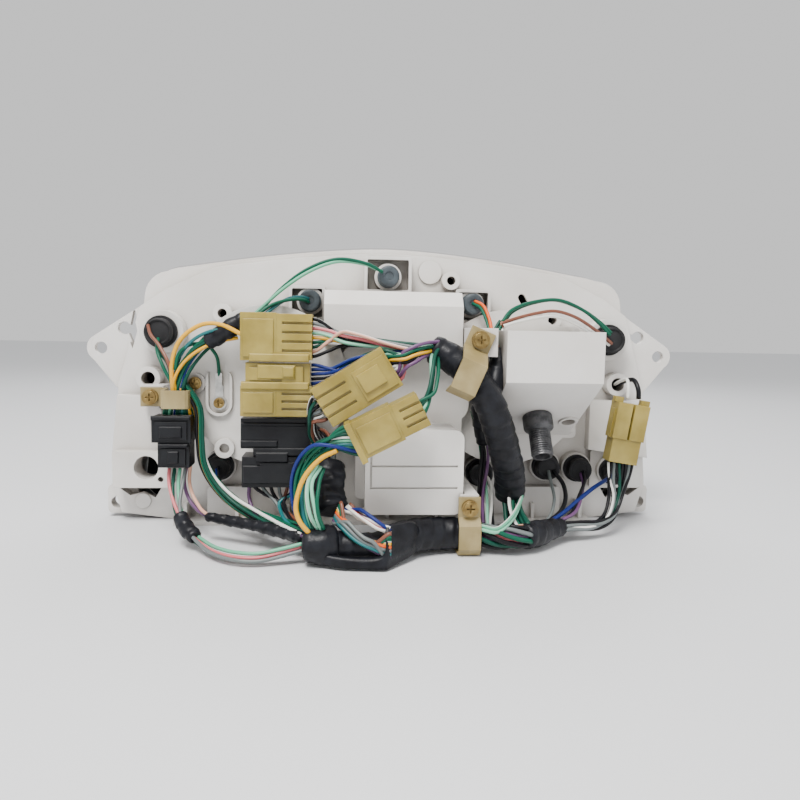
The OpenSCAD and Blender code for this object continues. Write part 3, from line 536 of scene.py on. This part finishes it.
def tape_sleeves():
    taped("tape_sleeve_top_left", mm((-80, -41, 122), (-88, -42, 117), (-96, -41.5, 111.5),
                                     (-102, -41, 108)), [4.4 * MM, 4.8 * MM, 4.6 * MM, 4.2 * MM])
    taped("tape_sleeve_loop", mm((-114.5, -53, 15.5), (-109, -60, 10), (-103, -66.5, 7.2)),
          [3.7 * MM, 4.0 * MM, 3.7 * MM])
    taped("tape_sleeve_tail", mm((-101, -50, 14), (-88, -55, 13), (-74, -62, 12.5),
                                 (-60, -71, 12), (-46, -82, 11.5)),
          [2.2 * MM, 2.7 * MM, 3.0 * MM, 3.2 * MM])
    taped("tape_sleeve_clamp", mm((57, -56, 107), (53.5, -64, 94), (50, -70, 82)),
          [4.4 * MM, 4.6 * MM, 4.4 * MM])
    taped("tape_sleeve_riser", mm((49, -40, 76), (52, -37, 64), (54, -36, 52)),
          [4.2 * MM, 4.6 * MM, 4.0 * MM])


def tape_flap():
    """The loose end of the tape, pressed into a wedge that leans on the table."""
    upper = smooth(mm((-40, -95, 8), (-28, -97.5, 6.5), (-12, -98, 6), (-6, -97.5, 9),
                      (-5.5, -95, 20), (2, -89, 20), (9.5, -84.5, 19.5), (14, -80, 12)))
    lower = smooth(mm((-40, -93, 2.5), (-28, -98, 1.6), (-14, -99.5, 1.4), (-6.5, -100, 1.3),
                      (-4, -98.5, 1.3), (3, -91, 2.5), (9, -85, 4), (14, -79.5, 9)))
    count = 24
    shape = Shape()
    rings = []
    for i in range(count + 1):
        a = upper[round(i * (len(upper) - 1) / count)]
        b = lower[round(i * (len(lower) - 1) / count)]
        inward = Vector((0, 2.0 * MM, 0.6 * MM))
        ring = [a, a.lerp(b, 0.35) + Vector((0, -0.6 * MM, 0)), a.lerp(b, 0.7), b, b + inward,
                a + inward]
        rings.append(ring)
    shape.ring_tube(rings, [shape.look(TAPE)] * 6)
    piece = shape.build("tape_flap")
    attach(piece, CASE)


tape_sleeves()
tape_flap()


# ------------------------------------------------------------------ wires between the blocks

def upper_wires():
    free_bundle("wire_yellow_arc", mm((-119.5, -40, 73), (-121, -40.5, 86), (-121, -41, 97),
                                      (-118, -41, 107), (-112, -41, 114), (-103, -42, 118.5),
                                      (-93, -45, 118), (-81, -54, 113)), ["yellow"],
                wire_r=1.2 * MM)
    free_bundle("wire_earth", mm((-119, -41, 93), (-117, -41, 102), (-111, -40, 107),
                                 (-103, -38, 107), (-98, -36, 101), (-97, -33.5, 94),
                                 (-97.2, -32, 88)), ["green"])
    free_bundle("wire_left_turn_brown", mm((-138, -24, 117), (-135, -31, 111), (-129, -36, 105),
                                           (-123, -40, 97), (-120, -40, 85)), ["brown/peach"])
    free_bundle("wires_left_turn_green", mm((-133, -24, 109), (-131, -31, 103), (-126, -37, 96),
                                            (-121, -40, 86)), ["green", "dark_green"])
    free_bundle("wires_teal_arc", mm((-78, -42, 119), (-68, -37, 128), (-59, -32, 133),
                                     (-52, -28, 134), (-48, -24, 133)), ["teal", "green"])
    free_bundle("wires_orange", mm((48, -24, 134), (52, -30, 131), (54.5, -37, 123),
                                   (54.8, -44, 113), (54, -54, 101), (51, -62, 92)),
                ["orange", "green"], twist=0.3)
    free_bundle("wires_right_arc_low", mm((59, -50, 121), (68, -46, 124), (80, -42, 127),
                                          (92, -38, 128.5), (105, -34, 125.5), (118, -30, 119),
                                          (131, -25, 111)), ["white/brown", "brown/peach"],
                twist=0.3, loose=0.8)
    bundle("wires_right_drop", mm((60, -47.5, 122), (57, -50, 117), (54.9, -56, 108),
                                  (53, -63, 97), (51, -67, 90)),
           ["green", "dark_green", "white/brown"], twist=0.2, loose=0.2)


def fans_to_upper_trunk():
    """The wires of blocks A, B and D that gather into the upper trunk."""
    free_bundle("wires_a_fan", mm((-44.5, -54.5, 112), (-34, -55, 112.5), (-18, -58, 111),
                                  (0, -62, 109), (20, -66, 107.5)),
                ["black/white", "grey", "pink/white", "pale_green", "yellow", "green/pink",
                 "dark_green", "peach/white", "black"], start_row=(0, 0, -2.5), twist=0.35,
                loose=1.0)
    free_bundle("wires_b_fan", mm((-44.5, -54.5, 90), (-34, -56, 92), (-20, -60, 99),
                                  (0, -63, 105), (20, -66, 106.5)),
                ["blue", "blue/light_blue", "blue", "black/white", "blue", "light_blue/white",
                 "dark_green"], start_row=(0, 0, -2.5), twist=0.3, loose=1.0)
    free_bundle("wires_d_fan", mm((-3, -75.5, 99), (4, -77, 103), (11, -75, 107),
                                  (20, -68.5, 109.5)),
                ["dark_green", "pale_green", "green/white", "yellow", "black/yellow", "white",
                 "white/brown", "purple", "purple", "pink/white"], start_row=(1.0, 0, -1.6),
                twist=0.2, loose=0.8)
    free_bundle("wires_e_return", mm((11, -90, 79), (15.5, -88, 86), (17.5, -83, 95),
                                     (19, -75, 104), (22, -69, 108)),
                ["green", "pale_green/green", "dark_green", "green"],
                start_row=(-0.9, 0, 1.8), twist=0.3, loose=0.8)


def left_side_wires():
    free_bundle("wires_beside_f", mm((-115, -39, 84), (-107.5, -39, 72), (-106, -39, 56),
                                     (-104, -40, 42), (-98, -42, 31), (-88, -47, 22),
                                     (-76, -55, 17), (-62, -67, 14.5), (-46, -81, 13)),
                ["light_green", "yellow", "green", "white", "dark_green", "green/yellow", "black",
                 "green"], twist=0.5, loose=1.0)
    free_bundle("wires_f_peach", mm((-113, -37, 40), (-114.5, -36, 30), (-112, -38, 21),
                                    (-106, -44, 15.5), (-99, -50, 14)), ["peach", "purple"],
                twist=0.4, loose=1.0)
    free_bundle("wires_lamp_left", mm((-100.5, -19, 34), (-98, -27, 28), (-92, -36, 21),
                                      (-80, -50, 16), (-64, -66, 13), (-47, -80, 12)),
                ["black", "blue"], twist=0.4)
    free_bundle("wire_c_purple", mm((-78, -48.5, 31), (-78, -50, 24), (-74, -56, 17),
                                    (-64, -68, 12.5), (-46, -84, 13)), ["purple"])
    free_bundle("wires_c_down", mm((-62, -48.5, 31.5), (-61.5, -50, 26), (-59, -56, 20),
                                   (-53, -68, 16), (-44, -80, 14)),
                ["black", "grey", "black", "grey", "brown", "black", "teal"],
                start_row=(4.6, 0, 0), twist=0.25, loose=1.0)
    free_bundle("wires_c_right", mm((-44, -48.5, 59), (-38, -51, 59.5), (-34, -56, 55),
                                    (-33.5, -60, 46)),
                ["black", "brown", "black", "purple", "grey"], start_row=(0, 0, -2.6), twist=0.3)
    free_bundle("wires_d_left", mm((-39, -75.5, 77), (-43.5, -72, 72), (-43, -65, 63),
                                   (-38, -61, 54), (-34, -60.5, 46)),
                ["black/white", "dark_green", "black", "grey", "black/white", "brown"],
                start_row=(1.4, 0, -2.2), twist=0.3, loose=1.0)


def lower_wires():
    free_bundle("wires_e_left", mm((-20.5, -90, 63), (-31, -88, 61.5), (-40, -84, 57),
                                   (-46, -81, 48), (-48.5, -81, 37), (-47, -84, 25),
                                   (-43, -86, 16)),
                ["green", "green", "dark_green", "green/white", "light_green", "teal", "green",
                 "blue", "dark_green"], start_row=(0.9, 0, -1.8), twist=0.35, loose=1.0)
    free_bundle("wire_e_orange", mm((-30, -90, 58), (-38, -88, 53), (-46, -87.5, 43),
                                    (-49.7, -89, 31), (-48, -91.5, 23.5), (-43, -92, 17)),
                ["yellow"], wire_r=1.25 * MM)
    free_bundle("wires_e_pale", mm((-38, -85, 49), (-41.5, -88, 42), (-42, -91.5, 34),
                                   (-40.5, -92.5, 26), (-37.5, -91, 19)),
                ["pale_green", "pale_green/white", "green"], twist=0.2, loose=0.8)
    free_bundle("wires_stub_top",
                mm((-25, -80, 27), (-20, -84, 25), (-12, -90, 22), (-3, -93, 17.5)),
                ["white/blue", "blue", "white/red", "white", "brown"], start_row=(0.8, 0, 0.8),
                end_row=(0.2, 0, -1.2), twist=0.2, loose=0.6)
    free_bundle("wires_stub_front", mm((-30, -82, 25), (-26, -88, 20), (-18, -93.5, 14),
                                       (-10, -95.5, 11.5), (-3, -95.5, 11)),
                ["brown", "green", "green/white", "yellow/orange", "orange", "grey", "teal",
                 "purple", "grey"], start_row=(-0.5, 0, -1.3), end_row=(0, 0, -1.75), twist=0.0,
                loose=0.6)
    bundle("wires_gap", mm((42.5, -70, 10), (50, -72.5, 10), (57, -74, 9.5), (65, -74, 9.2),
                           (71, -72, 9)),
           ["black", "purple", "pink/white", "purple", "dark_green", "black", "brown", "green",
            "black", "dark_green", "black", "purple", "black", "brown/peach", "black", "grey"],
           twist=0.3, loose=0.8, wire_r=1.25 * MM)
    free_bundle("wires_gap_pale", mm((42, -76, 16), (47, -78, 14.8), (54, -79, 14.2),
                                     (63, -72, 18.5), (71, -58, 25), (72, -50, 29)),
                ["pale_green", "light_green/white"], twist=0.3)
    free_bundle("wires_upper_tail", mm((67, -49.5, 29), (67, -55, 22), (67.5, -62, 15.5),
                                       (70, -70, 10.5)),
                ["black", "dark_green", "grey", "dark_green", "black/white", "dark_green", "green",
                 "dark_green", "black", "green", "dark_green", "white/black"],
                twist=0.1, loose=0.8, wire_r=1.3 * MM)
    free_bundle("wires_behind_trunk", mm((48, -36, 72), (51.5, -35, 60), (54, -35, 48),
                                         (54, -37, 37), (52, -46, 26), (50, -58, 18),
                                         (49, -67, 13)),
                ["black", "green", "pale_green/white", "purple", "black"], twist=0.4, loose=1.0)
    free_bundle("wires_lamp_centre", mm((56.5, -19, 30.5), (59, -28, 29), (59, -40, 24),
                                        (56, -53, 17), (53, -66, 12)),
                ["white/brown", "black"], twist=0.4)
    free_bundle("wires_lamp_right_a", mm((98, -19, 33), (97.5, -27, 27), (96.5, -38, 20),
                                         (92, -48, 14.5), (85, -58, 12)), ["grey"], twist=0.0)
    free_bundle("wires_lamp_right_b", mm((101, -19, 33), (104.5, -27, 27), (103, -38, 20.5),
                                         (97.6, -46, 15.5), (87, -57, 12)), ["black"], twist=0.0,
                wire_r=1.3 * MM)
    free_bundle("wires_lamp_right_c", mm((119, -19, 32), (118, -27, 27), (112, -38, 22),
                                         (104, -48, 15), (94, -55, 11.5)), ["black", "purple"])
    free_bundle("wires_lamp_right_d", mm((139, -19, 31), (132, -27, 29.5), (121, -34, 25.5),
                                         (109.8, -41, 20), (98, -49, 14.5), (86, -59, 12)),
                ["blue"], wire_r=1.25 * MM)
    free_bundle("wires_g_down", mm((138, -36.5, 42.5), (137.5, -37, 32), (135, -38.5, 21),
                                   (129, -44, 12.5), (119, -49, 9.2), (106, -51.5, 9),
                                   (93, -56.5, 9)),
                ["black", "dark_green", "black", "black", "grey", "black"],
                start_row=(2.0, 0, 0.3), twist=0.2, loose=0.9)
    free_bundle("wires_g_down_left", mm((130, -36.5, 42.5), (129.5, -38, 32), (129.5, -41, 22),
                                        (124, -46.5, 12.5), (113, -52, 8.5), (101, -54.5, 8.5),
                                        (92, -58, 8.5)),
                ["white/black", "black", "grey"], start_row=(1.8, 0, 0.3), twist=0.2, loose=0.9)
    free_bundle("wire_g_top_white", mm((140.2, -11, 86), (139.8, -24, 90), (139.4, -31, 91),
                                       (138.6, -35.5, 86.5), (138.5, -36, 79.5)), ["white"])
    free_bundle("wire_g_top_black", mm((142.2, -11, 86), (143.5, -24, 89.5), (144.6, -31, 90),
                                       (145, -35.5, 85.5), (145, -36, 79.5)), ["black"],
                wire_r=1.4 * MM)


upper_wires()
fans_to_upper_trunk()
left_side_wires()
lower_wires()


# ------------------------------------------------------------------ ribs and latches on the blocks

def slab(shape, material, low, high, edge):
    """Raised block that stands out toward -Y, with its front edges bevelled."""
    rings = []
    for y, inset in ((high[1], 0.0), (low[1] + edge, 0.0), (low[1], edge)):
        left, right = low[0] + inset, high[0] - inset
        foot, top = low[2] + inset, high[2] - inset
        rings.append(mm((left, y, foot), (right, y, foot), (right, y, top), (left, y, top)))
    shape.ring_tube(rings, [shape.look(material)] * 4)


def block_details(name, material, places):
    shape = Shape()
    for low, high in places:
        slab(shape, material, low, high, 0.5)
    piece = shape.build(name, smooth_faces=False)
    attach(piece, CASE)


block_details("latches_b", NYLON, [
    ((-76.3, -63.4, 99.4), (-45.4, -60.5, 103.6)), ((-80.6, -63.0, 84.8), (-45.4, -60.5, 88.8)),
    ((-72.0, -62.9, 90.4), (-52.5, -61.5, 97.8)), ((-59.0, -63.8, 91.4), (-53.0, -62.5, 96.8))])
block_details("latches_c", BLACK_NYLON, [
    ((-81.4, -56.9, 64.6), (-47.0, -55.5, 66.6)), ((-81.6, -57.2, 53.4), (-62.0, -55.5, 57.0)),
    ((-75.0, -56.9, 48.6), (-45.6, -54.0, 53.0)), ((-73.5, -58.2, 45.4), (-56.5, -54.0, 50.6)),
    ((-80.4, -57.0, 33.4), (-67.0, -55.5, 43.4)), ((-65.0, -56.9, 41.2), (-45.0, -55.5, 44.4))])
block_details("latches_f", BLACK_NYLON, [
    ((-131.0, -46.8, 66.0), (-110.0, -44.5, 68.2)), ((-126.5, -47.2, 56.4), (-114.5, -46.0, 62.6)),
    ((-127.6, -46.0, 50.6), (-111.6, -43.5, 52.8)), ((-122.5, -46.2, 42.2), (-116.5, -45.0, 48.8))])


# ------------------------------------------------------------------ cable nipple

NIPPLE_BASE = Vector((82.7, -42.873, 69.784)) * MM
NIPPLE_OUT = Vector((0.0, -0.551062, -0.834465))


def lathe(shape, material, origin, axis, profile, sides, wobble=None):
    """Closed solid of revolution; the profile is a list of radius and place along the axis."""
    u = axis.orthogonal().normalized()
    v = axis.cross(u)
    rings = []
    for index, (r, at) in enumerate(profile):
        ring = []
        for j in range(sides):
            a = 2 * math.pi * j / sides
            turned = r + (wobble(index, a) if wobble else 0.0)
            ring.append(origin + axis * at + (math.cos(a) * u + math.sin(a) * v) * turned)
        rings.append(ring)
    rings.append(rings[0])
    shape.ring_tube(rings, [shape.look(material)] * sides, caps=False)


def make_nipple():
    """Knurled collar, threaded end and open bore, over the plain CAD nipple."""
    crest = 6.1 * MM
    root = 5.45 * MM
    pitch = 1.3 * MM
    profile = [(5.4 * MM, -4 * MM), (5.4 * MM, 0.05 * MM), (7.9 * MM, 0.05 * MM),
               (8.4 * MM, 0.6 * MM)]
    knurled = range(len(profile) - 1, len(profile) + 1)
    profile += [(8.4 * MM, 7.6 * MM), (7.9 * MM, 8.4 * MM), (6.4 * MM, 9.2 * MM),
                (5.6 * MM, 10.0 * MM)]
    at = 10.6 * MM
    while at < 24.0 * MM:
        profile += [(crest, at), (crest, at + 0.25 * MM), (root, at + 0.65 * MM),
                    (root, at + 0.9 * MM)]
        at += pitch
    profile += [(5.5 * MM, 25 * MM), (4.3 * MM, 25 * MM), (4.15 * MM, 24.6 * MM),
                (4.15 * MM, 13 * MM), (2.05 * MM, 13 * MM), (2.05 * MM, -4 * MM)]

    def knurl(index, a):
        return -0.35 * MM * abs(math.sin(18 * a)) if index in knurled else 0.0

    shape = Shape()
    lathe(shape, NIPPLE, NIPPLE_BASE, NIPPLE_OUT, profile, 72, knurl)
    piece = shape.build("nipple_threaded")
    piece.modifiers.new("edges", "EDGE_SPLIT").split_angle = math.radians(35)
    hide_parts("cable_nipple")
    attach(piece, CASE)


make_nipple()


# ------------------------------------------------------------------ small rear details

def ring_piece(name, material, places, profile):
    """The same turned shape at several places, its axis along Y."""
    shape = Shape()
    for x, y, z in places:
        lathe(shape, material, Vector((x, y, z)) * MM, Vector((0, 1, 0)),
              [(r * MM, at * MM) for r, at in profile], RING_SIDES)
    piece = shape.build(name)
    piece.modifiers.new("edges", "EDGE_SPLIT").split_angle = math.radians(40)
    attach(piece, CASE)
    return piece


TURN_SOCKETS = [(-132.8, -23, 113.4), (132.8, -23, 113.4)]
LAMP_SOCKETS = [(-100.5, -19, 34), (56.5, -19, 30.5), (98, -19, 34.6), (118, -19, 33.4),
                (141, -19, 31.6)]
WARNING_SOCKETS = [(-2, -24, 148), (-47.5, -24, 133), (48, -24, 133)]


def socket_details():
    """Raised lips and ribs on the rubber bulb sockets."""
    ring_piece("turn_socket_lips", RUBBER, TURN_SOCKETS,
               [(7.9, 2.0), (7.9, -0.5), (6.9, -0.9), (6.0, -0.4), (5.9, 0.3)])
    ring_piece("lamp_socket_lips", RUBBER, LAMP_SOCKETS,
               [(7.1, 2.0), (7.1, -0.4), (6.2, -0.9), (4.6, -0.3), (4.4, 0.4)])
    ring_piece("warning_socket_lips", GREY_RUBBER, WARNING_SOCKETS,
               [(5.7, 5.5), (5.7, 3.2), (6.2, 2.8), (6.2, 1.6), (5.7, 1.2), (5.7, -0.4),
                (4.8, -0.8), (2.6, -0.5), (2.4, 0.5)])


socket_details()


# ------------------------------------------------------------------ dials

DIAL_FRONT = 27.25 * MM
DIAL_X = 70 * MM
DIAL_Z = 84 * MM
GAUGE_X = 132 * MM
GAUGE_Z = 60 * MM


def on_dial(x, z, radius, degrees):
    """A point on a dial; the angle is measured from straight up towards +X."""
    a = math.radians(degrees)
    return Vector((x + radius * math.sin(a), DIAL_FRONT, z + radius * math.cos(a)))


def tick(shape, material, x, z, inner, outer, degrees, width):
    a = on_dial(x, z, inner, degrees)
    b = on_dial(x, z, outer, degrees)
    turn = math.radians(degrees)
    side = Vector((math.cos(turn), 0, -math.sin(turn))) * width / 2
    rise = Vector((0, 0.12 * MM, 0))
    rings = [[a - side, a + side, a + side + rise, a - side + rise],
             [b - side, b + side, b + side + rise, b - side + rise]]
    shape.ring_tube(rings, [shape.look(material)] * 4)


def scale(shape, x, z, radius, first, sweep, count, minor, red_from):
    """Long ticks at the numbers and short ones between them."""
    total = count * minor
    for i in range(total + 1):
        share = i / total
        long_one = i % minor == 0
        inner = radius - (5.2 * MM if long_one else 3.0 * MM)
        look = RED_MARK if share >= red_from else MARK
        width = (0.8 if long_one else 0.45) * MM
        tick(shape, look, x, z, inner, radius, first - sweep * share, width)


def glyphs(text, size):
    """The outline mesh of a short text, centred, in its own flat plane."""
    curve = bpy.data.curves.new("glyph", "FONT")
    curve.body = text
    curve.size = size
    curve.align_x = "CENTER"
    curve.align_y = "CENTER"
    curve.extrude = 0.06 * MM
    curve.resolution_u = 3
    holder = link(bpy.data.objects.new("glyph", curve))
    bpy.context.view_layer.update()
    mesh = bpy.data.meshes.new_from_object(holder)
    points = [v.co.copy() for v in mesh.vertices]
    faces = [tuple(f.vertices) for f in mesh.polygons]
    bpy.data.objects.remove(holder)
    bpy.data.curves.remove(curve)
    bpy.data.meshes.remove(mesh)
    return points, faces


def add_text(shape, material, text, size, place):
    """Adds a text to the shape; place is the matrix of its plane."""
    points, faces = glyphs(text, size)
    start = len(shape.points)
    shape.points.extend(place @ p for p in points)
    for face in faces:
        shape.faces.append(tuple(start + i for i in face))
        shape.looks.append(shape.look(material))


def facing_rider(at):
    """A plane at a point, read from +Y."""
    turn = Matrix(((-1, 0, 0), (0, 0, 1), (0, 1, 0))).to_4x4()
    return Matrix.Translation(at) @ turn


def flat_piece(shape, name, body=CASE):
    piece = shape.build(name, smooth_faces=False)
    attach(piece, body)


def large_dial(name, x, first, sweep, numbers, minor, red_from):
    shape = Shape()
    scale(shape, x, DIAL_Z, 39.5 * MM, first, sweep, len(numbers) - 1, minor, red_from)
    for i, number in enumerate(numbers):
        at = on_dial(x, DIAL_Z, 29.5 * MM, first - sweep * i / (len(numbers) - 1))
        add_text(shape, MARK, str(number), 5.6 * MM, facing_rider(at))
    flat_piece(shape, name)


def small_dial(name, x, letters):
    shape = Shape()
    scale(shape, x, GAUGE_Z, 15.5 * MM, 45, 90, 4, 2, 0.87)
    for letter, degrees in zip(letters, (58, -58)):
        at = on_dial(x, GAUGE_Z, 12.5 * MM, degrees)
        add_text(shape, MARK, letter, 4.2 * MM, facing_rider(at))
    flat_piece(shape, name)


def drum_digits(node, body):
    """Ten digits round a counter drum."""
    low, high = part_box(node)
    centre = (Vector(low) + Vector(high)) / 2
    radius = (high[2] - low[2]) / 2 + 0.02 * MM
    shape = Shape()
    for digit in range(10):
        roll = Matrix.Rotation(math.radians(36 * digit), 4, "X")
        place = Matrix.Translation(centre) @ roll @ facing_rider(Vector((0, radius, 0)))
        add_text(shape, DIAL, str(digit), 4.4 * MM, place)
    flat_piece(shape, node + "_digits", body)


def coloured_windows():
    """The tinted windows of the lamps, just behind the holes of the mask."""
    lamps = [("turn_left", -132.8, 113.4, (0.02, 0.30, 0.06)),
             ("turn_right", 132.8, 113.4, (0.02, 0.30, 0.06)),
             ("beam", -2, 148, (0.02, 0.06, 0.40)),
             ("oil", -47.5, 133, (0.42, 0.02, 0.01)),
             ("neutral", 48, 133, (0.02, 0.28, 0.08))]
    for name, x, z, colour in lamps:
        ring_piece("window_" + name, plain("window_" + name, colour, 0.25),
                   [(x, 33.1, z)], [(0.01, 0.0), (5.4, 0.0), (5.4, 1.0), (4.9, 1.5), (0.01, 1.7)])


def dress_dials():
    large_dial("speedo_scale", DIAL_X, 125, 250, range(0, 241, 20), 4, 2.0)
    large_dial("tacho_scale", -DIAL_X, 120, 240, range(0, 13), 4, 0.79)
    small_dial("temp_scale", -GAUGE_X, "CH")
    small_dial("fuel_scale", GAUGE_X, "EF")
    for i in range(1, 5):
        drum_digits(f"odo_drum_{i}", f"odo_wheel_{i}")
    for i in range(1, 3):
        drum_digits(f"trip_drum_{i}", f"trip_wheel_{i}")
    coloured_windows()


dress_dials()


# ------------------------------------------------------------------ floor and light

def make_floor():
    shape = Shape()
    far = 4.0
    shape.points = [Vector((-far, -far, 0)), Vector((far, -far, 0)), Vector((far, far, 0)),
                    Vector((-far, far, 0))]
    shape.faces = [(0, 1, 2, 3)]
    shape.looks = [shape.look(plain("floor_pale", (0.70, 0.71, 0.73), 0.45))]
    shape.build("floor")


def area_light(name, at, aim, size, power, colour=(1.0, 1.0, 1.0)):
    data = bpy.data.lights.new(name, "AREA")
    data.size = size
    data.energy = power
    data.color = colour
    lamp = link(bpy.data.objects.new(name, data))
    lamp.location = at
    lamp.rotation_euler = (Vector(aim) - Vector(at)).to_track_quat("-Z", "Y").to_euler()


def make_light():
    world = bpy.data.worlds.new("studio")
    bpy.context.scene.world = world
    world.use_nodes = True
    back = world.node_tree.nodes["Background"]
    back.inputs["Color"].default_value = (1.0, 1.0, 1.0, 1.0)
    back.inputs["Strength"].default_value = 0.85
    middle = (0.0, 0.0, 0.08)
    area_light("key", (-0.25, -0.55, 1.0), middle, 0.45, 22.0, (1.0, 0.98, 0.95))
    area_light("fill", (0.9, -0.6, 0.5), middle, 0.8, 2.0)
    area_light("front", (0.1, 0.9, 0.8), middle, 0.8, 8.0)


make_floor()
make_light()
